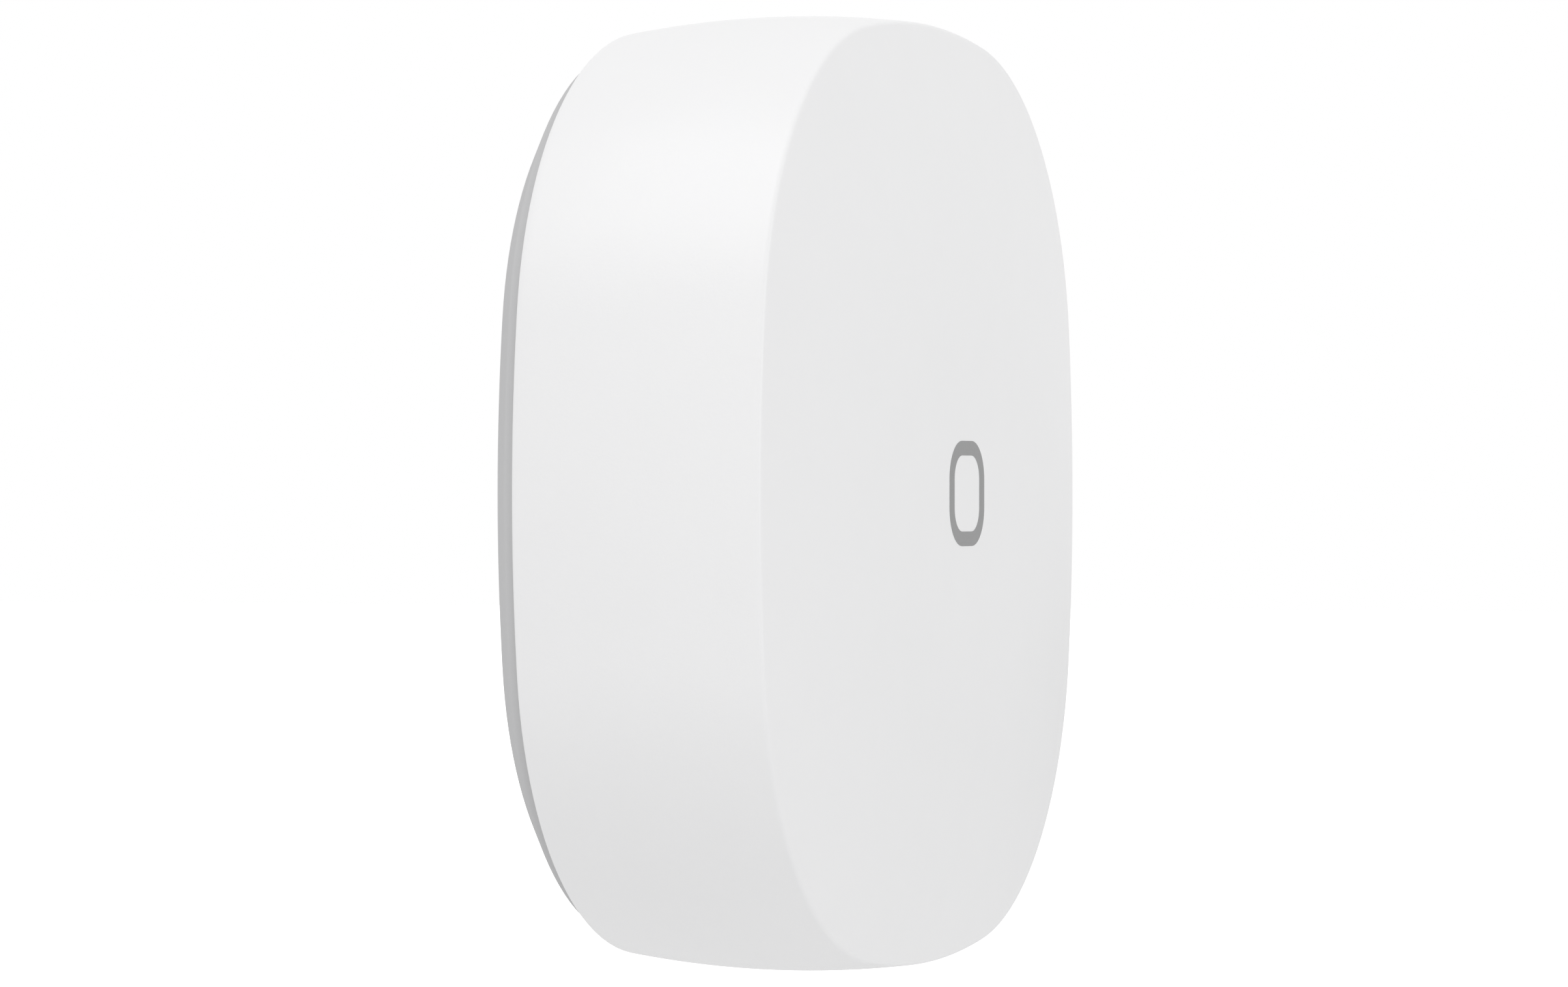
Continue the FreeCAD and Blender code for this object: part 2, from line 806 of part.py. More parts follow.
def extruded_strip(edges, width):
    """Sheet strip from a closed line in the plane of x and depth, centred on y."""
    strip = Part.Face(Part.Wire(edges)).extrude(vec(0, width, 0))
    strip.translate(vec(0, -width / 2, 0))
    return strip


def positive_contact():
    """Sprung strip that leans on the cell's side wall."""
    back = bay_outer_radius - bay_wall / 2
    touch = cell_radius + contact_play
    middle = (cell_rear + cell_front) / 2
    high = middle + contact_bow
    low = middle - contact_bow
    inner_leg = Part.LineSegment(vec(back, 0, board_bottom), vec(back, 0, high)).toShape()
    inner_bow = Part.Arc(vec(back, 0, high), vec(touch, 0, middle), vec(back, 0, low)).toShape()
    far = back + sheet_thickness
    end = Part.LineSegment(vec(back, 0, low), vec(far, 0, low)).toShape()
    bow_tip = vec(touch + sheet_thickness, 0, middle)
    outer_bow = Part.Arc(vec(far, 0, low), bow_tip, vec(far, 0, high)).toShape()
    outer_leg = Part.LineSegment(vec(far, 0, high), vec(far, 0, board_bottom)).toShape()
    top = Part.LineSegment(vec(far, 0, board_bottom), vec(back, 0, board_bottom)).toShape()
    return extruded_strip([inner_leg, inner_bow, end, outer_bow, outer_leg, top], contact_width)


def negative_contact():
    """Leaf with two fingers that reach down to the cell's cap."""
    base_start = -cell_cap_radius / 2 + part_gap
    base_end = base_start + leaf_base_length
    finger_tip = cell_cap_radius / 2 - part_gap
    bend = finger_tip - leaf_tip_length
    touch = cell_front + contact_play
    under = board_bottom - sheet_thickness
    half = contact_width / 2
    base = block(base_start, base_end, -half, half, under, board_bottom)
    profile = Part.makePolygon([
        vec(base_end - sheet_thickness, 0, under),
        vec(base_end - sheet_thickness, 0, board_bottom),
        vec(base_end, 0, board_bottom),
        vec(bend, 0, touch + sheet_thickness),
        vec(finger_tip, 0, touch + sheet_thickness * 2),
        vec(finger_tip, 0, touch + sheet_thickness),
        vec(bend, 0, touch),
        vec(base_end, 0, under),
        vec(base_end - sheet_thickness, 0, under),
    ])
    finger_width = (contact_width - leaf_slit) / 2
    fingers = []
    for start in (-half, half - finger_width):
        finger = Part.Face(profile).extrude(vec(0, finger_width, 0))
        finger.translate(vec(0, start, 0))
        fingers.append(finger)
    return joined(base, fingers)


# Pairing switch in a corner behind the board


def pairing_place(shape):
    x, y = on_diagonal(screw_ring_radius, PAIRING_CORNER)
    shape.rotate(vec(0, 0, 0), vec(0, 0, 1), PAIRING_CORNER)
    shape.translate(vec(x, y, 0))
    return shape


def pairing_switch():
    half = pairing_width / 2
    case = block(-half, half, -half, half, board_bottom - pairing_height, board_bottom)
    bottom = board_bottom - pairing_height
    well = rod(pairing_plunger_radius + plunger_play, bottom, board_bottom - pairing_height / 4)
    return pairing_place(case.cut(well))


def pairing_button():
    top = board_bottom - pairing_height / 4 - pairing_travel - plunger_play
    end = board_bottom - pairing_height - pairing_plunger_rise
    button = rod(pairing_plunger_radius, end, top)
    button = button.makeChamfer(pairing_plunger_radius / 4, edges_at_depth(button, end))
    return pairing_place(button)


PIECES = {
    "push_cap": push_cap,
    "printed_ring": printed_ring,
    "rear_cover": rear_cover,
    "cover_magnets": cover_magnets,
    "cell_pad": cell_pad,
    "cell_can": cell_can,
    "cell_seal": cell_seal,
    "cell_cap": cell_cap,
    "chassis": chassis,
    "stop_pads": stop_pads,
    "circuit_board": circuit_board,
    "board_screws": board_screws,
    "radio_shield": radio_shield,
    "radio_chip": radio_chip,
    "antenna": antenna,
    "crystal": crystal,
    "capacitors": capacitors,
    "status_led": status_led,
    "temperature_sensor": temperature_sensor,
    "main_switch_base": main_switch_base,
    "main_switch_cover": main_switch_cover,
    "main_switch_dome": main_switch_dome,
    "main_switch_plunger": main_switch_plunger,
    "main_switch_terminals": main_switch_terminals,
    "positive_contact": positive_contact,
    "negative_contact": negative_contact,
    "pairing_switch": pairing_switch,
    "pairing_button": pairing_button,
}

os.makedirs("parts", exist_ok=True)
for name, make in PIECES.items():
    piece = make()
    piece.rotate(vec(0, 0, 0), vec(1, 0, 0), 90)
    piece.exportStep(os.path.join("parts", name + ".step"))
    print(name, len(piece.Solids), piece.isValid(), round(piece.Volume, 3))
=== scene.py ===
import math

import bmesh
import bpy
from mathutils import Matrix, Vector


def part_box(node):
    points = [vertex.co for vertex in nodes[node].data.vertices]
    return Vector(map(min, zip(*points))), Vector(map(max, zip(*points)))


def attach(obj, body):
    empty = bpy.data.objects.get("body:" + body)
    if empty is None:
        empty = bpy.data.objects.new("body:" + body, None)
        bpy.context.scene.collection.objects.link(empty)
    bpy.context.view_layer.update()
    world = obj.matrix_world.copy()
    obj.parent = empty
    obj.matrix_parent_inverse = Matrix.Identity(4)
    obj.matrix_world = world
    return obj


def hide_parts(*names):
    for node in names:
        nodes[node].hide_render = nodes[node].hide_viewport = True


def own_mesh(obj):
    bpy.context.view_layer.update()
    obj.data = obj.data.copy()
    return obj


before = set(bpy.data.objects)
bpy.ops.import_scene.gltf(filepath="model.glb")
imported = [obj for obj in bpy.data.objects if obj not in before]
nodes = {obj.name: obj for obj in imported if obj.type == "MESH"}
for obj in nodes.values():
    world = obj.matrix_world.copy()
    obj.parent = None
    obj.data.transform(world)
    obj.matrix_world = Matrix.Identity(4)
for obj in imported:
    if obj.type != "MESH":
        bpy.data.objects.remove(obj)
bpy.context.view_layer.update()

# Camera and room. The button hangs at eye level and is seen from its left front side,
# from close enough that its far edges look a little shorter, with white all round it.
camera_distance = 0.27885
camera_turn = math.radians(-69.412)
camera_pan = math.radians(0.0638)
camera_lens_mm = 151.47
button_middle = Vector((0, -0.0060626, 0))

camera_data = bpy.data.cameras.new("camera")
camera_data.sensor_width = 36.0
camera_data.lens = camera_lens_mm
camera_data.clip_start = 0.01
camera_data.clip_end = 20.0
camera = bpy.data.objects.new("camera", camera_data)
towards_camera = Vector((math.sin(camera_turn), -math.cos(camera_turn), 0))
camera.location = button_middle + towards_camera * camera_distance
camera.rotation_euler = (math.pi / 2, 0, camera_turn + camera_pan)
bpy.context.scene.collection.objects.link(camera)
bpy.context.scene.camera = camera
bpy.context.scene.view_settings.view_transform = "Standard"

world = bpy.data.worlds.new("soft_room")
bpy.context.scene.world = world
world.use_nodes = True
world_nodes = world.node_tree.nodes
world_links = world.node_tree.links
world_nodes.clear()
room_light = world_nodes.new("ShaderNodeBackground")
room_light.inputs["Color"].default_value = (1.0, 1.0, 1.0, 1)
room_light.inputs["Strength"].default_value = 0.70
white_backdrop = world_nodes.new("ShaderNodeBackground")
white_backdrop.inputs["Color"].default_value = (1, 1, 1, 1)
white_backdrop.inputs["Strength"].default_value = 1.0
ray = world_nodes.new("ShaderNodeLightPath")
seen = world_nodes.new("ShaderNodeMath")
seen.operation = "MAXIMUM"
seen_through = world_nodes.new("ShaderNodeMath")
seen_through.operation = "MAXIMUM"
pick_room = world_nodes.new("ShaderNodeMixShader")
room_output = world_nodes.new("ShaderNodeOutputWorld")
world_links.new(ray.outputs["Is Camera Ray"], seen.inputs[0])
world_links.new(ray.outputs["Is Glossy Ray"], seen.inputs[1])
world_links.new(seen.outputs[0], seen_through.inputs[0])
world_links.new(ray.outputs["Is Transmission Ray"], seen_through.inputs[1])
world_links.new(seen_through.outputs[0], pick_room.inputs["Fac"])
world_links.new(room_light.outputs[0], pick_room.inputs[1])
world_links.new(white_backdrop.outputs[0], pick_room.inputs[2])
world_links.new(pick_room.outputs[0], room_output.inputs["Surface"])


def soft_box(name, place, width, height, watts):
    """Flat studio light that looks at the button."""
    data = bpy.data.lights.new(name, "AREA")
    data.shape = "RECTANGLE"
    data.size = width
    data.size_y = height
    data.energy = watts
    lamp = bpy.data.objects.new(name, data)
    lamp.location = place
    aim = button_middle - Vector(place)
    lamp.rotation_euler = aim.to_track_quat("-Z", "Y").to_euler()
    bpy.context.scene.collection.objects.link(lamp)


soft_box("upper_left_softbox", (-0.56, 0.16, 0.82), 0.9, 0.9, 3.3)
soft_box("front_strip", (-0.16, -0.89, 0.0), 0.15, 0.9, 1.9)

# Floor: a pale matt sheet some way below the button, which hangs free.
# It takes the button's soft shadow and otherwise reads as white.
floor_drop = 0.060
floor_half = 3.0
floor_mesh = bpy.data.meshes.new("floor")
floor_corners = []
for floor_x, floor_y in ((-1, -1), (1, -1), (1, 1), (-1, 1)):
    floor_corners.append((floor_x * floor_half, floor_y * floor_half, -floor_drop))
floor_mesh.from_pydata(floor_corners, [], [(0, 1, 2, 3)])
floor = bpy.data.objects.new("floor", floor_mesh)
bpy.context.scene.collection.objects.link(floor)
floor_paint = bpy.data.materials.new("pale_floor")
floor_paint.use_nodes = True
floor_nodes = floor_paint.node_tree.nodes
floor_links = floor_paint.node_tree.links
floor_shader = floor_nodes["Principled BSDF"]
floor_shader.inputs["Base Color"].default_value = (0.88, 0.88, 0.88, 1)
floor_shader.inputs["Roughness"].default_value = 0.9
floor_shader.inputs["Specular IOR Level"].default_value = 0.0
floor_shader.inputs["Emission Color"].default_value = (1, 1, 1, 1)
floor_ray = floor_nodes.new("ShaderNodeLightPath")
floor_glow = floor_nodes.new("ShaderNodeMath")
floor_glow.operation = "MULTIPLY"
floor_glow.inputs[1].default_value = 0.82
floor_links.new(floor_ray.outputs["Is Camera Ray"], floor_glow.inputs[0])
floor_links.new(floor_glow.outputs[0], floor_shader.inputs["Emission Strength"])
floor_mesh.materials.append(floor_paint)

# Push cap: the white shell, side wall and face in one moulding of matt white plastic.
# It is injection moulded, its side wall swells a little, its face is a shallow dome,
# and four hooks inside hold it on the chassis while a post presses the switch.
mm = 0.001
cap_edge_half_width = 19.68 * mm
cap_rear_half_width = 19.50 * mm
cap_inner_half_width = 18.10 * mm
cap_lip_inner_half_width = 18.98 * mm
cap_side_bow = 0.40 * mm
side_arc_radius = 52.9 * mm
corner_arc_radius = 13.83 * mm
cap_rim_depth = 1.41 * mm
cap_step_depth = 1.80 * mm
cap_edge_depth = 12.12 * mm
crown_depth = 13.91 * mm
dome_power = 2.2
crown_share = 0.12
dome_start_share = 0.1
crease_rounding = 0.25 * mm
rim_rounding = 0.42 * mm
face_thickness = 1.30 * mm
ceiling_radius = 19.98 * mm
ceiling_flat_share = 0.35
post_radius = 1.90 * mm
post_end = 10.50 * mm
rib_thickness = 0.70 * mm
stop_rib_end = 9.95 * mm
stop_rib_start = 17.48 * mm
stop_rib_reach = 20.40 * mm
rib_spread = math.radians(7)
hook_half_width = 3.0 * mm
hook_outer = 17.60 * mm
hook_arm = 0.80 * mm
hook_barb = 0.70 * mm
hook_root_depth = 9.65 * mm
hook_below_crease = 0.2 * mm
hook_into_wall = 0.4 * mm
barb_top = 6.70 * mm
barb_height = 0.80 * mm
barb_into_arm = 0.1 * mm
barb_slope_share = 2 / 3
side_steps = 24
corner_steps = 24
face_steps = 40
crease_steps = 10
wall_steps = 16
rim_steps = 8
wall_margin = 1.3
ceiling_shares = (1.0, 0.9, 0.8, 0.7, 0.6, 0.5, 0.4, 0.3, 0.1)


def rounded_square(half_width, side_radius, corner_radius):
    """Points and outward directions round an outline of tangent side and corner arcs."""
    side_centre = half_width - side_radius
    reach = side_radius - corner_radius
    root = math.sqrt(4 * side_centre ** 2 - 8 * (side_centre ** 2 - reach ** 2))
    corner_centre = (2 * side_centre + root) / 4
    turn = math.atan2(corner_centre, corner_centre - side_centre)
    points = []
    for quarter in range(4):
        start = quarter * math.pi / 2
        side = Vector((side_centre * math.cos(start), side_centre * math.sin(start)))
        middle = start + math.pi / 4
        corner = Vector((math.cos(middle), math.sin(middle))) * corner_centre * math.sqrt(2)
        for step in range(side_steps):
            angle = start - turn + 2 * turn * step / side_steps
            out = Vector((math.cos(angle), math.sin(angle)))
            points.append((side + out * side_radius, out))
        for step in range(corner_steps):
            angle = start + turn + (math.pi / 2 - 2 * turn) * step / corner_steps
            out = Vector((math.cos(angle), math.sin(angle)))
            points.append((corner + out * corner_radius, out))
    return points


def in_frame(flat, depth):
    """A point of an outline at a depth from the wall, in the button's frame."""
    return Vector((flat.x, -depth, flat.y))


def rounded_corner(corner, before, after, radius, steps):
    """Arc that rounds the corner between the directions to the points before and after it."""
    back = (before - corner).normalized()
    ahead = (after - corner).normalized()
    half = back.angle(ahead) / 2
    centre = corner + (back + ahead).normalized() * radius / math.sin(half)
    first = corner + back * radius / math.tan(half) - centre
    last = corner + ahead * radius / math.tan(half) - centre
    sweep = first.angle(last)
    arc = []
    for step in range(steps + 1):
        share = step / steps
        a = math.sin((1 - share) * sweep) / math.sin(sweep)
        b = math.sin(share * sweep) / math.sin(sweep)
        arc.append(centre + first * a + last * b)
    return arc


def surface_from_profiles(name, profiles, flat_ends):
    """Mesh of quads through one profile per outline point, with or without flat ends."""
    mesh = bmesh.new()
    columns = []
    for profile in profiles:
        columns.append([mesh.verts.new(point) for point in profile])
    count = len(columns)
    for i in range(count):
        here = columns[i]
        there = columns[(i + 1) % count]
        for j in range(len(here) - 1):
            mesh.faces.new((here[j], there[j], there[j + 1], here[j + 1]))
    if flat_ends:
        mesh.faces.new([column[0] for column in columns])
        mesh.faces.new([column[-1] for column in columns])
    bmesh.ops.recalc_face_normals(mesh, faces=mesh.faces)
    data = bpy.data.meshes.new(name)
    mesh.to_mesh(data)
    mesh.free()
    piece = bpy.data.objects.new(name, data)
    bpy.context.scene.collection.objects.link(piece)
    return piece


def smooth_within(piece, degrees):
    """Smooth shading, with edges sharper than an angle kept crisp."""
    for face in piece.data.polygons:
        face.use_smooth = True
    piece.data.set_sharp_from_angle(angle=math.radians(degrees))


def cap_swell(depth):
    """How far the side wall stands out from the crease outline at one depth."""
    t = (depth - cap_rim_depth) / (cap_edge_depth - cap_rim_depth)
    straight = (cap_rear_half_width - cap_edge_half_width) * (1 - t)
    return straight + 4 * cap_side_bow * t * (1 - t)


def on_outline(flat, out, half_width, depth):
    """The point of the outline with another half width, at a depth from the wall."""
    return in_frame(flat - out * (cap_edge_half_width - half_width), depth)


def on_side(flat, out, depth):
    """The point of the swelling side wall at a depth from the wall."""
    return in_frame(flat + out * cap_swell(depth), depth)


def cubic(a, b, c, d, t):
    """A cubic curve's value between its first and last number."""
    u = 1 - t
    return a * u ** 3 + 3 * b * u ** 2 * t + 3 * c * u * t ** 2 + d * t ** 3


def dome_points(foot, steps):
    """From the foot at the crease up to the level crown, shrunk towards the middle axis."""
    handle = (1 - crown_share) / dome_power
    points = []
    for step in range(1, steps + 1):
        t = step / steps
        share = cubic(1, 1 - handle, crown_share + handle, crown_share, t)
        depth = cubic(-foot.y, crown_depth, crown_depth, crown_depth, t)
        points.append(Vector((foot.x * share, -depth, foot.z * share)))
    return points


def ceiling_at(radius):
    """Depth of the face's underside: a shallow cone with a level middle."""
    slope = min(1, (ceiling_radius - radius) / (ceiling_radius * (1 - ceiling_flat_share)))
    return cap_edge_depth - face_thickness + (crown_depth - cap_edge_depth) * slope


def cap_profile(flat, out):
    """From the crown out over the crease, down the side, round the rim and back inside."""
    crease = in_frame(flat, cap_edge_depth)
    below = on_side(flat, out, cap_edge_depth - crease_rounding)
    rise = (crown_depth - cap_edge_depth) * dome_power / (1 - crown_share)
    onward = in_frame(flat * (1 - dome_start_share), cap_edge_depth + rise * dome_start_share)
    crease_arc = rounded_corner(crease, onward, below, crease_rounding, crease_steps)
    points = list(reversed(dome_points(crease_arc[0], face_steps))) + crease_arc
    side_start = cap_edge_depth - crease_rounding * wall_margin
    side_end = cap_rim_depth + rim_rounding * wall_margin
    for step in range(wall_steps + 1):
        points.append(on_side(flat, out, side_start + (side_end - side_start) * step / wall_steps))
    rim = on_side(flat, out, cap_rim_depth)
    rim_inner = on_outline(flat, out, cap_inner_half_width, cap_rim_depth)
    above_rim = on_side(flat, out, cap_rim_depth + rim_rounding)
    points += rounded_corner(rim, above_rim, rim_inner, rim_rounding, rim_steps)
    points.append(on_outline(flat, out, cap_lip_inner_half_width, cap_rim_depth))
    points.append(on_outline(flat, out, cap_lip_inner_half_width, cap_step_depth))
    points.append(on_outline(flat, out, cap_inner_half_width, cap_step_depth))
    inner = flat - out * (cap_edge_half_width - cap_inner_half_width)
    for share in ceiling_shares:
        spot = inner * share
        points.append(in_frame(spot, ceiling_at(spot.length)))
    return points


def turned_part(piece, angle):
    """Turns a part of the drawing about the button's middle axis."""
    bmesh.ops.rotate(piece, verts=piece.verts, cent=(0, 0, 0), matrix=Matrix.Rotation(angle, 3, "Y"))
    return piece


def bar(x0, x1, half_width, z0, z1):
    """Box between two distances from the middle and two depths from the wall."""
    piece = bmesh.new()
    bmesh.ops.create_cube(piece, size=1)
    for corner in piece.verts:
        x = x0 if corner.co.x < 0 else x1
        y = -z0 if corner.co.y > 0 else -z1
        z = -half_width if corner.co.z < 0 else half_width
        corner.co = (x, y, z)
    return piece


def disc_bar(radius, z0, z1, height=0.0, steps=40):
    """Round bar between two depths, at a height over the middle."""
    piece = bmesh.new()
    bmesh.ops.create_cone(piece, cap_ends=True, segments=steps, radius1=radius, radius2=radius,
                          depth=z1 - z0)
    turn = Matrix.Rotation(math.pi / 2, 4, "X")
    place = Matrix.Translation((0, -(z0 + z1) / 2, height))
    bmesh.ops.transform(piece, matrix=place @ turn, verts=piece.verts)
    return piece


def add_parts(piece, parts):
    """Adds drawn parts to a piece's mesh."""
    whole = bmesh.new()
    whole.from_mesh(piece.data)
    for part in parts:
        extra = bpy.data.meshes.new("part")
        part.to_mesh(extra)
        part.free()
        whole.from_mesh(extra)
        bpy.data.meshes.remove(extra)
    whole.to_mesh(piece.data)
    whole.free()


def cap_hook():
    """Snap arm with its barb, and the root that ties it to the side wall."""
    tip_low = barb_top - barb_height
    hook_top = cap_edge_depth - hook_below_crease
    arm_inner = hook_outer - hook_arm
    root_outer = cap_inner_half_width + hook_into_wall
    arm = bar(arm_inner, hook_outer, hook_half_width, tip_low, hook_top)
    root = bar(arm_inner, root_outer, hook_half_width, hook_root_depth, hook_top)
    barb = bar(arm_inner - hook_barb, arm_inner + barb_into_arm, hook_half_width, tip_low, barb_top)
    for corner in barb.verts:
        at_tip = corner.co.x < arm_inner - hook_barb / 2
        if at_tip and corner.co.y > -(tip_low + barb_height / 2):
            corner.co.y -= barb_height * barb_slope_share
    return [arm, root, barb]


def moulded_plastic(name, colour, grain, depth, roughness, speckle=0.0):
    """Matt moulded plastic: fine spark-eroded grain in bump and gloss, and faint shifts of colour."""
    paint = bpy.data.materials.new(name)
    paint.use_nodes = True
    tree = paint.node_tree
    shader = tree.nodes["Principled BSDF"]
    place = tree.nodes.new("ShaderNodeTexCoord")
    fine = tree.nodes.new("ShaderNodeTexNoise")
    fine.inputs["Scale"].default_value = 1 / grain
    fine.inputs["Detail"].default_value = 3.0
    fine.inputs["Roughness"].default_value = 0.6
    broad = tree.nodes.new("ShaderNodeTexNoise")
    broad.inputs["Scale"].default_value = 0.05 / grain
    broad.inputs["Detail"].default_value = 2.0
    bump = tree.nodes.new("ShaderNodeBump")
    bump.inputs["Strength"].default_value = 1.0
    bump.inputs["Distance"].default_value = depth
    gloss = tree.nodes.new("ShaderNodeMapRange")
    gloss.inputs["From Min"].default_value = 0.3
    gloss.inputs["From Max"].default_value = 0.7
    gloss.inputs["To Min"].default_value = roughness - 0.05
    gloss.inputs["To Max"].default_value = roughness + 0.05
    tint = tree.nodes.new("ShaderNodeMix")
    tint.data_type = "RGBA"
    darker = [channel * (0.985 - speckle) for channel in colour]
    tone = fine if speckle else broad
    tint.inputs["A"].default_value = (*darker, 1)
    tint.inputs["B"].default_value = (*colour, 1)
    link = tree.links.new
    link(place.outputs["Object"], fine.inputs["Vector"])
    link(place.outputs["Object"], broad.inputs["Vector"])
    link(fine.outputs["Fac"], bump.inputs["Height"])
    link(fine.outputs["Fac"], gloss.inputs["Value"])
    link(gloss.outputs["Result"], shader.inputs["Roughness"])
    link(tone.outputs["Fac"], tint.inputs["Factor"])
    link(tint.outputs["Result"], shader.inputs["Base Color"])
    link(bump.outputs["Normal"], shader.inputs["Normal"])
    return paint


white_plastic = moulded_plastic("white_plastic", (0.90, 0.90, 0.905), 0.12 * mm, 0.004 * mm, 0.38)

crease_outline = rounded_square(cap_edge_half_width, side_arc_radius, corner_arc_radius)
cap_shell = surface_from_profiles(
    "cap_shell", [cap_profile(flat, out) for flat, out in crease_outline], flat_ends=True)
inner_parts = [disc_bar(post_radius, post_end, crown_depth - face_thickness / 2)]
for side in range(4):
    quarter = side * math.pi / 2
    blade = bar(0, hook_outer, rib_thickness / 2, cap_edge_depth - face_thickness, cap_edge_depth)
    for part in cap_hook() + [blade]:
        inner_parts.append(turned_part(part, quarter))
    for spread in (-rib_spread, 0, rib_spread):
        stop_rib = bar(stop_rib_start, stop_rib_reach, rib_thickness / 2, stop_rib_end,
                       cap_edge_depth - face_thickness / 2)
        inner_parts.append(turned_part(stop_rib, quarter + math.pi / 4 + spread))
add_parts(cap_shell, inner_parts)
smooth_within(cap_shell, degrees=40)
cap_shell.data.materials.append(white_plastic)
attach(cap_shell, "push_cap")
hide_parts("push_cap")

# Rear cover: the grey moulding that stays on the wall, of the same matt plastic in grey.
# Its flank slopes out to a narrow ridge, and a lip stands inside the cap for the unit to snap on,
# with a bead on each side, four round collars for the magnets and a notch for a thumbnail below.
cover_half_width = 18.85 * mm
cover_back_half_width = 17.40 * mm
cover_ridge_depth = 0.90 * mm
cover_top = 1.50 * mm
cover_floor = 1.10 * mm
cover_back_rounding = 0.25 * mm
cover_ridge_rounding = 0.22 * mm
cover_top_rounding = 0.06 * mm
shelf_rounding = 0.1 * mm
lip_rounding = 0.12 * mm
floor_rounding = 0.2 * mm
back_corner_steps = 5
ridge_corner_steps = 4
shelf_corner_steps = 2
small_corner_steps = 3
lip_half_width = 17.60 * mm
lip_wall = 0.80 * mm
lip_top = 4.50 * mm
collar_top = 1.50 * mm
collar_radius = 2.70 * mm
collar_bevel = 0.06 * mm
collar_steps = 48
magnet_bore = 2.25 * mm
magnet_place = 15.30 * mm
bead_depth = 3.70 * mm
bead_radius = 0.40 * mm
bead_height = 0.20 * mm
bead_half_length = 3.0 * mm
bead_steps = 24
notch_half_length = 4.0 * mm
notch_depth = 0.55 * mm
notch_height = 0.55 * mm
notch_steps = 360


def cover_profile(flat, out):
    """From the back face's middle out over the flank and ridge, up the lip and down to the floor."""

    def at(half_width, depth):
        return on_outline(flat, out, half_width, depth)

    back = at(cover_back_half_width, 0)
    ridge = at(cover_half_width, cover_ridge_depth)
    wall_top = at(cover_half_width, cover_top)
    shelf = at(lip_half_width, cover_top)
    crest = at(lip_half_width, lip_top)
    inner_crest = at(lip_half_width - lip_wall, lip_top)
    foot = at(lip_half_width - lip_wall, cover_floor)
    middle = at(lip_half_width - lip_wall * 2, cover_floor)
    inside_back = at(cover_back_half_width - lip_wall, 0)
    points = [inside_back]
    points += rounded_corner(back, inside_back, ridge, cover_back_rounding, back_corner_steps)
    points += rounded_corner(ridge, back, wall_top, cover_ridge_rounding, ridge_corner_steps)
    points += rounded_corner(wall_top, ridge, shelf, cover_top_rounding, small_corner_steps)
    points += rounded_corner(shelf, wall_top, crest, shelf_rounding, shelf_corner_steps)
    points += rounded_corner(crest, shelf, inner_crest, lip_rounding, small_corner_steps)
    points += rounded_corner(inner_crest, crest, foot, lip_rounding, small_corner_steps)
    points += rounded_corner(foot, inner_crest, middle, floor_rounding, small_corner_steps)
    points.append(middle)
    return points


def collar():
    """Round wall that holds a magnet, open above."""
    profile = [(collar_radius, cover_floor), (collar_radius, collar_top - collar_bevel),
               (collar_radius - collar_bevel, collar_top), (magnet_bore + collar_bevel, collar_top),
               (magnet_bore, collar_top - collar_bevel), (magnet_bore, cover_floor)]
    ring = bmesh.new()
    rows = []
    for radius, depth in profile:
        row = []
        for step in range(collar_steps):
            angle = 2 * math.pi * step / collar_steps
            row.append(ring.verts.new((magnet_place + radius * math.cos(angle), -depth,
                                       radius * math.sin(angle))))
        rows.append(row)
    for low, high in zip(rows, rows[1:]):
        for step in range(collar_steps):
            after = (step + 1) % collar_steps
            ring.faces.new((low[step], low[after], high[after], high[step]))
    bmesh.ops.recalc_face_normals(ring, faces=ring.faces)
    return ring


def snap_bead():
    """Rounded bead along the inside of the lip."""
    bead = disc_bar(bead_radius, -bead_half_length, bead_half_length, steps=bead_steps)
    lay = Matrix.Rotation(math.pi / 2, 4, "X")
    place = Matrix.Translation((lip_half_width - lip_wall - bead_height + bead_radius, -bead_depth, 0))
    bmesh.ops.transform(bead, matrix=place @ lay, verts=bead.verts)
    return bead


def pry_notch():
    """Round cutter for the thumbnail notch in the lower edge of the back."""
    radius = (notch_half_length ** 2 + notch_depth ** 2) / (2 * notch_depth)
    centre = notch_depth - cover_back_half_width - radius
    return disc_bar(radius, -notch_height, notch_height, height=centre, steps=notch_steps)


def carve(piece, cutter):
    """Cuts a drawn part out of a closed piece."""
    tool_mesh = bpy.data.meshes.new("cutter")
    cutter.to_mesh(tool_mesh)
    cutter.free()
    tool = bpy.data.objects.new("cutter", tool_mesh)
    bpy.context.scene.collection.objects.link(tool)
    cut = piece.modifiers.new("cut", "BOOLEAN")
    cut.operation = "DIFFERENCE"
    cut.solver = "EXACT"
    cut.object = tool
    graph = bpy.context.evaluated_depsgraph_get()
    carved = bpy.data.meshes.new_from_object(piece.evaluated_get(graph))
    piece.modifiers.clear()
    piece.data = carved
    bpy.data.objects.remove(tool)


grey_plastic = moulded_plastic("grey_plastic", (0.57, 0.57, 0.575), 0.14 * mm, 0.005 * mm, 0.7)
grey_plastic.node_tree.nodes["Principled BSDF"].inputs["Specular IOR Level"].default_value = 0.03
cover_shell = surface_from_profiles(
    "cover_shell", [cover_profile(flat, out) for flat, out in crease_outline], flat_ends=True)
carve(cover_shell, pry_notch())
cover_parts = []
for side in range(4):
    cover_parts.append(turned_part(snap_bead(), side * math.pi / 2))
    cover_parts.append(turned_part(collar(), side * math.pi / 2 + math.pi / 4))
add_parts(cover_shell, cover_parts)
smooth_within(cover_shell, degrees=30)
cover_shell.data.materials.append(grey_plastic)
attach(cover_shell, "rear_cover")
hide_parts("rear_cover")

# Printed ring: a small rounded square ring, pad printed in grey ink at the middle of the face.
# The ink lies as a thin film on the plastic and takes on its grain.
ring_half_width = 2.20 * mm
ring_line_width = 0.61 * mm
ring_corner_radius = 1.60 * mm
ink_thickness = 0.012 * mm
ring_corner_steps = 16


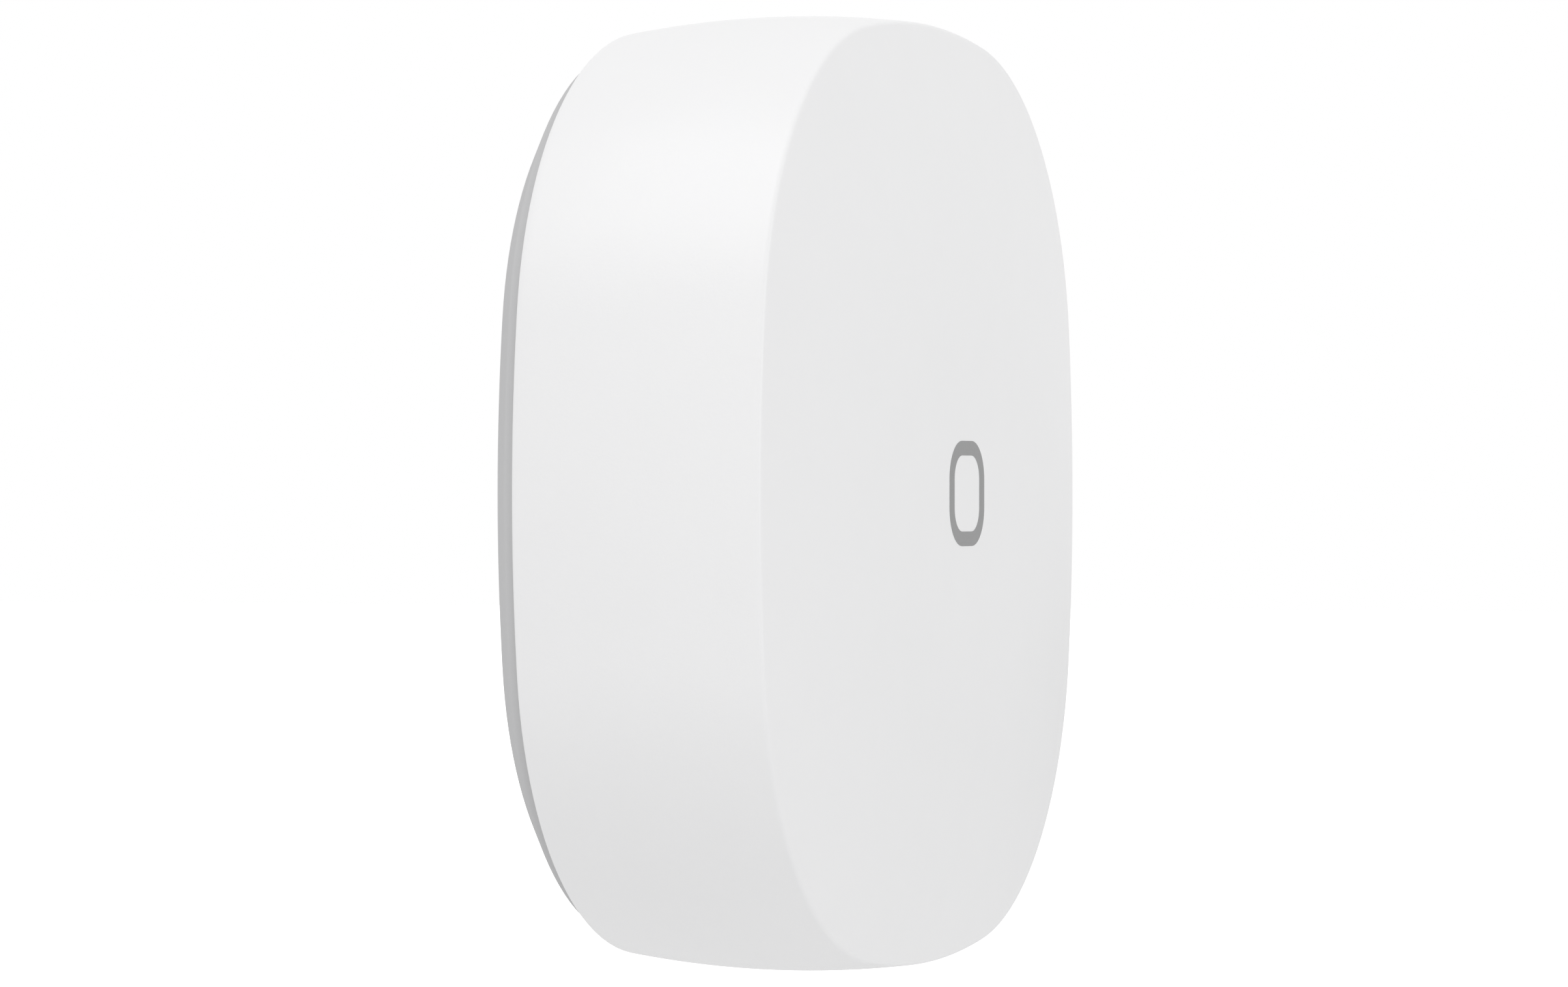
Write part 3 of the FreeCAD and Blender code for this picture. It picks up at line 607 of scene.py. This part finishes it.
def square_ring_points(half_width, corner_radius):
    """Points round a square with round corners."""
    points = []
    for quarter in range(4):
        middle = (quarter + 0.5) * math.pi / 2
        reach = (half_width - corner_radius) * math.sqrt(2)
        centre = Vector((math.cos(middle), math.sin(middle))) * reach
        for step in range(ring_corner_steps + 1):
            angle = quarter * math.pi / 2 + math.pi / 2 * step / ring_corner_steps
            points.append(centre + Vector((math.cos(angle), math.sin(angle))) * corner_radius)
    return points


def ring_profile(outer, inner):
    """Section of the ink film: up its outer edge, over it and down its inner edge."""
    low, high = crown_depth, crown_depth + ink_thickness
    return [in_frame(outer, low), in_frame(outer, high), in_frame(inner, high), in_frame(inner, low)]


grey_ink = moulded_plastic("grey_ink", (0.36, 0.36, 0.362), 0.05 * mm, 0.002 * mm, 0.55, speckle=0.25)
ring_outer = square_ring_points(ring_half_width, ring_corner_radius)
ring_inner = square_ring_points(ring_half_width - ring_line_width, ring_corner_radius - ring_line_width)
ring_print = surface_from_profiles(
    "ring_print", [ring_profile(*pair) for pair in zip(ring_outer, ring_inner)], flat_ends=False)
smooth_within(ring_print, degrees=30)
ring_print.data.materials.append(grey_ink)
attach(ring_print, "push_cap")
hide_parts("printed_ring")


def dress(name, paint):
    """Gives a carried-over piece its material."""
    nodes[name].data.materials.clear()
    nodes[name].data.materials.append(paint)


# Magnets: four neodymium discs with nickel plating, pressed into the cover's collars.
# The plating is bright but slightly mottled, with handling scuffs.


def plated_metal(name, colour, roughness, grain, scuff):
    """Bare or plated metal: mottled gloss, faint stains and a fine bump."""
    paint = bpy.data.materials.new(name)
    paint.use_nodes = True
    tree = paint.node_tree
    shader = tree.nodes["Principled BSDF"]
    shader.inputs["Metallic"].default_value = 1.0
    place = tree.nodes.new("ShaderNodeTexCoord")
    mottle = tree.nodes.new("ShaderNodeTexNoise")
    mottle.inputs["Scale"].default_value = 1 / grain
    mottle.inputs["Detail"].default_value = 5.0
    gloss = tree.nodes.new("ShaderNodeMapRange")
    gloss.inputs["From Min"].default_value = 0.3
    gloss.inputs["From Max"].default_value = 0.7
    gloss.inputs["To Min"].default_value = roughness * 0.8
    gloss.inputs["To Max"].default_value = roughness * 1.25
    stain = tree.nodes.new("ShaderNodeMix")
    stain.data_type = "RGBA"
    stain.inputs["A"].default_value = (*[channel * 0.88 for channel in colour], 1)
    stain.inputs["B"].default_value = (*colour, 1)
    bump = tree.nodes.new("ShaderNodeBump")
    bump.inputs["Strength"].default_value = 1.0
    bump.inputs["Distance"].default_value = scuff
    link = tree.links.new
    link(place.outputs["Object"], mottle.inputs["Vector"])
    link(mottle.outputs["Fac"], gloss.inputs["Value"])
    link(mottle.outputs["Fac"], stain.inputs["Factor"])
    link(mottle.outputs["Fac"], bump.inputs["Height"])
    link(gloss.outputs["Result"], shader.inputs["Roughness"])
    link(stain.outputs["Result"], shader.inputs["Base Color"])
    link(bump.outputs["Normal"], shader.inputs["Normal"])
    return paint


magnet_plating = plated_metal("magnet_plating", (0.62, 0.61, 0.58), 0.28, 0.6 * mm, 0.002 * mm)
dress("cover_magnets", magnet_plating)

# Cell pad: a die-cut disc of black closed-cell foam on the cover's floor.
# Its skin shows small cells, and it presses the cell onto its contacts.
cell_size = 0.22 * mm
foam = bpy.data.materials.new("foam")
foam.use_nodes = True
foam_tree = foam.node_tree
foam_shader = foam_tree.nodes["Principled BSDF"]
foam_shader.inputs["Roughness"].default_value = 0.95
foam_shader.inputs["Specular IOR Level"].default_value = 0.15
foam_place = foam_tree.nodes.new("ShaderNodeTexCoord")
foam_cells = foam_tree.nodes.new("ShaderNodeTexVoronoi")
foam_cells.inputs["Scale"].default_value = 1 / cell_size
foam_tone = foam_tree.nodes.new("ShaderNodeMapRange")
foam_tone.inputs["To Min"].default_value = 0.5
foam_tone.inputs["To Max"].default_value = 1.0
foam_mix = foam_tree.nodes.new("ShaderNodeMix")
foam_mix.data_type = "RGBA"
foam_mix.inputs["A"].default_value = (0.020, 0.020, 0.021, 1)
foam_mix.inputs["B"].default_value = (0.055, 0.055, 0.058, 1)
foam_bump = foam_tree.nodes.new("ShaderNodeBump")
foam_bump.inputs["Strength"].default_value = 1.0
foam_bump.inputs["Distance"].default_value = 0.04 * mm
foam_tree.links.new(foam_place.outputs["Object"], foam_cells.inputs["Vector"])
foam_tree.links.new(foam_cells.outputs["Distance"], foam_tone.inputs["Value"])
foam_tree.links.new(foam_tone.outputs["Result"], foam_mix.inputs["Factor"])
foam_tree.links.new(foam_mix.outputs["Result"], foam_shader.inputs["Base Color"])
foam_tree.links.new(foam_cells.outputs["Distance"], foam_bump.inputs["Height"])
foam_tree.links.new(foam_bump.outputs["Normal"], foam_shader.inputs["Normal"])
dress("cell_pad", foam)

# Coin cell: a deep drawn can of nickel-plated steel, closed by a smaller cap over a dark gasket.
# The can has rounded edges and a stamped plus sign, and its faces show a circular brushed finish.
cell_radius = 12.25 * mm
cell_rear = 1.50 * mm
cell_rim = 6.25 * mm
cell_front = 6.50 * mm
cell_seat = 5.70 * mm
cell_cap_radius = 10.90 * mm
cell_seal_radius = 11.25 * mm
can_rounding = 0.35 * mm
lid_rounding = 0.22 * mm
cell_steps = 128
edge_steps = 5


def lathe(name, profile, steps):
    """Mesh of revolution about the button's middle axis, from (radius, depth) pairs."""
    mesh = bmesh.new()
    rows = []
    for radius, depth in profile:
        if radius == 0:
            rows.append([mesh.verts.new((0, -depth, 0))] * steps)
            continue
        row = []
        for step in range(steps):
            angle = 2 * math.pi * step / steps
            row.append(mesh.verts.new((radius * math.cos(angle), -depth, radius * math.sin(angle))))
        rows.append(row)
    for low, high in zip(rows, rows[1:]):
        for step in range(steps):
            after = (step + 1) % steps
            corners = [low[step], low[after], high[after], high[step]]
            kept = []
            for corner in corners:
                if corner not in kept:
                    kept.append(corner)
            if len(kept) > 2:
                mesh.faces.new(kept)
    bmesh.ops.recalc_face_normals(mesh, faces=mesh.faces)
    data = bpy.data.meshes.new(name)
    mesh.to_mesh(data)
    mesh.free()
    piece = bpy.data.objects.new(name, data)
    bpy.context.scene.collection.objects.link(piece)
    return piece


def round_edge(radius_at, depth_at, size, towards_depth):
    """Quarter round from a round wall inwards onto a face."""
    points = []
    for step in range(edge_steps + 1):
        angle = math.pi / 2 * step / edge_steps
        points.append((radius_at - size * (1 - math.cos(angle)),
                       depth_at + towards_depth * size * (1 - math.sin(angle))))
    return points


def drawn_steel(name, colour, roughness):
    """Satin nickel plating with fine rings from the press and faint mottling in gloss and tone."""
    paint = bpy.data.materials.new(name)
    paint.use_nodes = True
    tree = paint.node_tree
    shader = tree.nodes["Principled BSDF"]
    shader.inputs["Metallic"].default_value = 1.0
    place = tree.nodes.new("ShaderNodeTexCoord")
    rings = tree.nodes.new("ShaderNodeTexWave")
    rings.wave_type = "RINGS"
    rings.rings_direction = "Y"
    rings.inputs["Scale"].default_value = 0.9 / mm
    rings.inputs["Distortion"].default_value = 1.2
    rings.inputs["Detail"].default_value = 4.0
    rings.inputs["Detail Scale"].default_value = 3.0
    cloud = tree.nodes.new("ShaderNodeTexNoise")
    cloud.inputs["Scale"].default_value = 0.4 / mm
    cloud.inputs["Detail"].default_value = 6.0
    gloss = tree.nodes.new("ShaderNodeMapRange")
    gloss.inputs["To Min"].default_value = roughness * 0.75
    gloss.inputs["To Max"].default_value = roughness * 1.25
    tint = tree.nodes.new("ShaderNodeMix")
    tint.data_type = "RGBA"
    tint.inputs["A"].default_value = (*[channel * 0.9 for channel in colour], 1)
    tint.inputs["B"].default_value = (*colour, 1)
    bump = tree.nodes.new("ShaderNodeBump")
    bump.inputs["Strength"].default_value = 1.0
    bump.inputs["Distance"].default_value = 0.001 * mm
    link = tree.links.new
    link(place.outputs["Object"], rings.inputs["Vector"])
    link(place.outputs["Object"], cloud.inputs["Vector"])
    link(cloud.outputs["Fac"], gloss.inputs["Value"])
    link(cloud.outputs["Fac"], tint.inputs["Factor"])
    link(rings.outputs["Fac"], bump.inputs["Height"])
    link(gloss.outputs["Result"], shader.inputs["Roughness"])
    link(tint.outputs["Result"], shader.inputs["Base Color"])
    link(bump.outputs["Normal"], shader.inputs["Normal"])
    return paint


cell_steel = drawn_steel("cell_steel", (0.66, 0.655, 0.64), 0.30)
can_profile = [(0, cell_rear)]
can_profile += reversed(round_edge(cell_radius, cell_rear, can_rounding, 1))
can_profile += round_edge(cell_radius, cell_rim, can_rounding, -1)
can_profile += [(cell_seal_radius, cell_rim), (cell_seal_radius, cell_seat), (0, cell_seat)]
can_shell = lathe("can_shell", can_profile, cell_steps)
plus_half = 2.0 * mm
plus_stroke = 0.32 * mm
plus_rise = 0.02 * mm
plus_height = cell_radius * 0.62
plus_parts = []
for turn in (0, math.pi / 2):
    stroke = bar(-plus_half, plus_half, plus_stroke, cell_rear - plus_rise, cell_rear + plus_rise)
    plus_parts.append(turned_part(stroke, turn))
for stroke in plus_parts:
    bmesh.ops.translate(stroke, verts=stroke.verts, vec=(0, 0, plus_height))
add_parts(can_shell, plus_parts)
smooth_within(can_shell, degrees=35)
can_shell.data.materials.append(cell_steel)
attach(can_shell, "coin_cell")
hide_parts("cell_can")

lid_profile = [(0, cell_seat), (cell_cap_radius, cell_seat)]
lid_profile += round_edge(cell_cap_radius, cell_front, lid_rounding, -1)
lid_profile.append((0, cell_front))
cell_lid = lathe("cell_lid", lid_profile, cell_steps)
smooth_within(cell_lid, degrees=35)
cell_lid.data.materials.append(cell_steel)
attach(cell_lid, "coin_cell")
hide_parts("cell_cap")

gasket = moulded_plastic("gasket", (0.10, 0.10, 0.11), 0.1 * mm, 0.003 * mm, 0.4)
dress("cell_seal", gasket)

# Chassis: the inner moulding of natural white plastic, with skirt, web, ribs and cell bay.
# It is injection moulded with a finer, slightly glossier skin than the outside.
natural_plastic = moulded_plastic("natural_plastic", (0.72, 0.72, 0.705), 0.10 * mm, 0.003 * mm, 0.36)
dress("chassis", natural_plastic)

# Stop pads: four curved strips of translucent grey silicone, where the cap comes to rest.
# They are moulded soft and stuck on top of the chassis' deck wall, one in each corner.
silicone = moulded_plastic("silicone", (0.55, 0.56, 0.57), 0.2 * mm, 0.002 * mm, 0.6)
silicone_shader = silicone.node_tree.nodes["Principled BSDF"]
silicone_shader.inputs["Subsurface Weight"].default_value = 0.2
silicone_shader.inputs["Subsurface Scale"].default_value = 0.5 * mm
dress("stop_pads", silicone)

# Circuit board: green solder mask over glass laminate, with tracks that show faintly through it.
# It is cut to the chassis' outline and held by three screws.
track_pitch = 0.9 * mm
mask = bpy.data.materials.new("solder_mask")
mask.use_nodes = True
mask_tree = mask.node_tree
mask_shader = mask_tree.nodes["Principled BSDF"]
mask_shader.inputs["Roughness"].default_value = 0.32
mask_place = mask_tree.nodes.new("ShaderNodeTexCoord")
tracks = mask_tree.nodes.new("ShaderNodeTexBrick")
tracks.offset = 0.35
tracks.inputs["Scale"].default_value = 1 / track_pitch
tracks.inputs["Color1"].default_value = (0.012, 0.105, 0.045, 1)
tracks.inputs["Color2"].default_value = (0.016, 0.125, 0.052, 1)
tracks.inputs["Mortar"].default_value = (0.030, 0.200, 0.085, 1)
tracks.inputs["Mortar Size"].default_value = 0.10
tracks.inputs["Brick Width"].default_value = 3.5
tracks.inputs["Row Height"].default_value = 0.8
lay_flat = mask_tree.nodes.new("ShaderNodeMapping")
lay_flat.inputs["Rotation"].default_value = (math.pi / 2, 0, 0)
mask_bump = mask_tree.nodes.new("ShaderNodeBump")
mask_bump.inputs["Strength"].default_value = 1.0
mask_bump.inputs["Distance"].default_value = 0.02 * mm
mask_link = mask_tree.links.new
mask_link(mask_place.outputs["Object"], lay_flat.inputs["Vector"])
mask_link(lay_flat.outputs["Vector"], tracks.inputs["Vector"])
mask_link(tracks.outputs["Color"], mask_shader.inputs["Base Color"])
mask_link(tracks.outputs["Fac"], mask_bump.inputs["Height"])
mask_link(mask_bump.outputs["Normal"], mask_shader.inputs["Normal"])
dress("circuit_board", mask)

# Board screws: three small zinc-plated steel screws with a cross recess.
# They are headed and rolled from wire, and hold the board down on the chassis' bosses.
dress("board_screws", plated_metal("zinc_plating", (0.56, 0.56, 0.57), 0.34, 0.3 * mm, 0.003 * mm))

# Shield, crystal and switch cover: thin tinned steel with a dull bright skin.
# The shield and the cover are folded from sheet, the crystal's can is drawn, and all are soldered on.
tinned_steel = plated_metal("tinned_steel", (0.70, 0.70, 0.69), 0.38, 0.8 * mm, 0.002 * mm)
for tinned in ("radio_shield", "crystal", "main_switch_cover"):
    dress(tinned, tinned_steel)

# Radio chip and temperature sensor: black moulded epoxy with a fine sandy skin.
# Both lie flat on the board and are soldered round their edges.
chip_resin = moulded_plastic("chip_resin", (0.025, 0.025, 0.027), 0.06 * mm, 0.003 * mm, 0.55)
for resin_part in ("radio_chip", "temperature_sensor"):
    dress(resin_part, chip_resin)

# Antenna: a gold-plated copper track in the shape of a small inverted F.
# It is etched with the board's other tracks and left bare of solder mask.
dress("antenna", plated_metal("gold_plating", (0.83, 0.60, 0.25), 0.30, 0.2 * mm, 0.002 * mm))

# Capacitors: tiny blocks of fired ceramic in a sandy brown.
# They are placed on the board by machine and soldered at both ends.
dress("capacitors", moulded_plastic("ceramic", (0.42, 0.32, 0.20), 0.04 * mm, 0.002 * mm, 0.45))

# Status light: a small block of clear epoxy over a yellow chip.
# It is cast as one piece and soldered on the board, and shines through the thin white shell.
led_resin = moulded_plastic("led_resin", (0.85, 0.84, 0.72), 0.3 * mm, 0.001 * mm, 0.18)
led_resin.node_tree.nodes["Principled BSDF"].inputs["Transmission Weight"].default_value = 0.3
dress("status_led", led_resin)

# Main switch and pairing switch: housings and plunger moulded in black resin, and four tinned legs.
# The legs are moulded into the main switch's base and soldered to the board.
switch_resin = moulded_plastic("switch_resin", (0.05, 0.05, 0.052), 0.08 * mm, 0.003 * mm, 0.45)
for resin_part in ("main_switch_base", "main_switch_plunger", "pairing_switch"):
    dress(resin_part, switch_resin)
dress("main_switch_terminals", plated_metal("solder", (0.72, 0.72, 0.72), 0.30, 0.2 * mm, 0.006 * mm))

# Snap dome: a thin disc of nickel-plated spring steel, stamped to a shallow dome, on the switch's floor.
# It buckles under the plunger and springs back; here it is drawn as a fixed shallow dome.
dome_crown_corner, dome_foot_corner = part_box("main_switch_dome")
dome_foot = -dome_foot_corner.y
dome_rise = dome_foot_corner.y - dome_crown_corner.y
dome_radius = dome_foot_corner.x
dome_thickness = 0.08 * mm
dome_steps = 12
dome_turn_steps = 64
dome_sphere = (dome_radius ** 2 + dome_rise ** 2) / (2 * dome_rise)
dome_centre = dome_foot + dome_rise - dome_sphere
dome_hollow = dome_sphere - dome_thickness
dome_hollow_foot = math.sqrt(dome_hollow ** 2 - (dome_foot - dome_centre) ** 2)
dome_skin = []
dome_underside = []
for step in range(dome_steps + 1):
    skin_radius = dome_radius * step / dome_steps
    dome_skin.append((skin_radius, dome_centre + math.sqrt(dome_sphere ** 2 - skin_radius ** 2)))
    under_radius = dome_hollow_foot * step / dome_steps
    dome_underside.append((under_radius, dome_centre + math.sqrt(dome_hollow ** 2 - under_radius ** 2)))
spring_steel = plated_metal("spring_steel", (0.74, 0.72, 0.66), 0.26, 0.4 * mm, 0.001 * mm)
snap_dome = lathe("snap_dome", dome_skin + dome_underside[::-1], dome_turn_steps)
smooth_within(snap_dome, degrees=35)
snap_dome.data.materials.append(spring_steel)
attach(snap_dome, "chassis")
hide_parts("main_switch_dome")
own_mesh(snap_dome)

# Battery contacts: strips of the same nickel-plated spring steel, stamped and bent,
# one leaning on the can's side wall and one reaching down to the cell's cap.
for contact in ("positive_contact", "negative_contact"):
    dress(contact, spring_steel)

# Pairing button: a small cream plunger of the service switch behind the board.
# It is moulded in nylon, and is reached through the chassis once the unit is off its cover.
dress("pairing_button", moulded_plastic("button_resin", (0.75, 0.74, 0.68), 0.06 * mm, 0.002 * mm, 0.4))
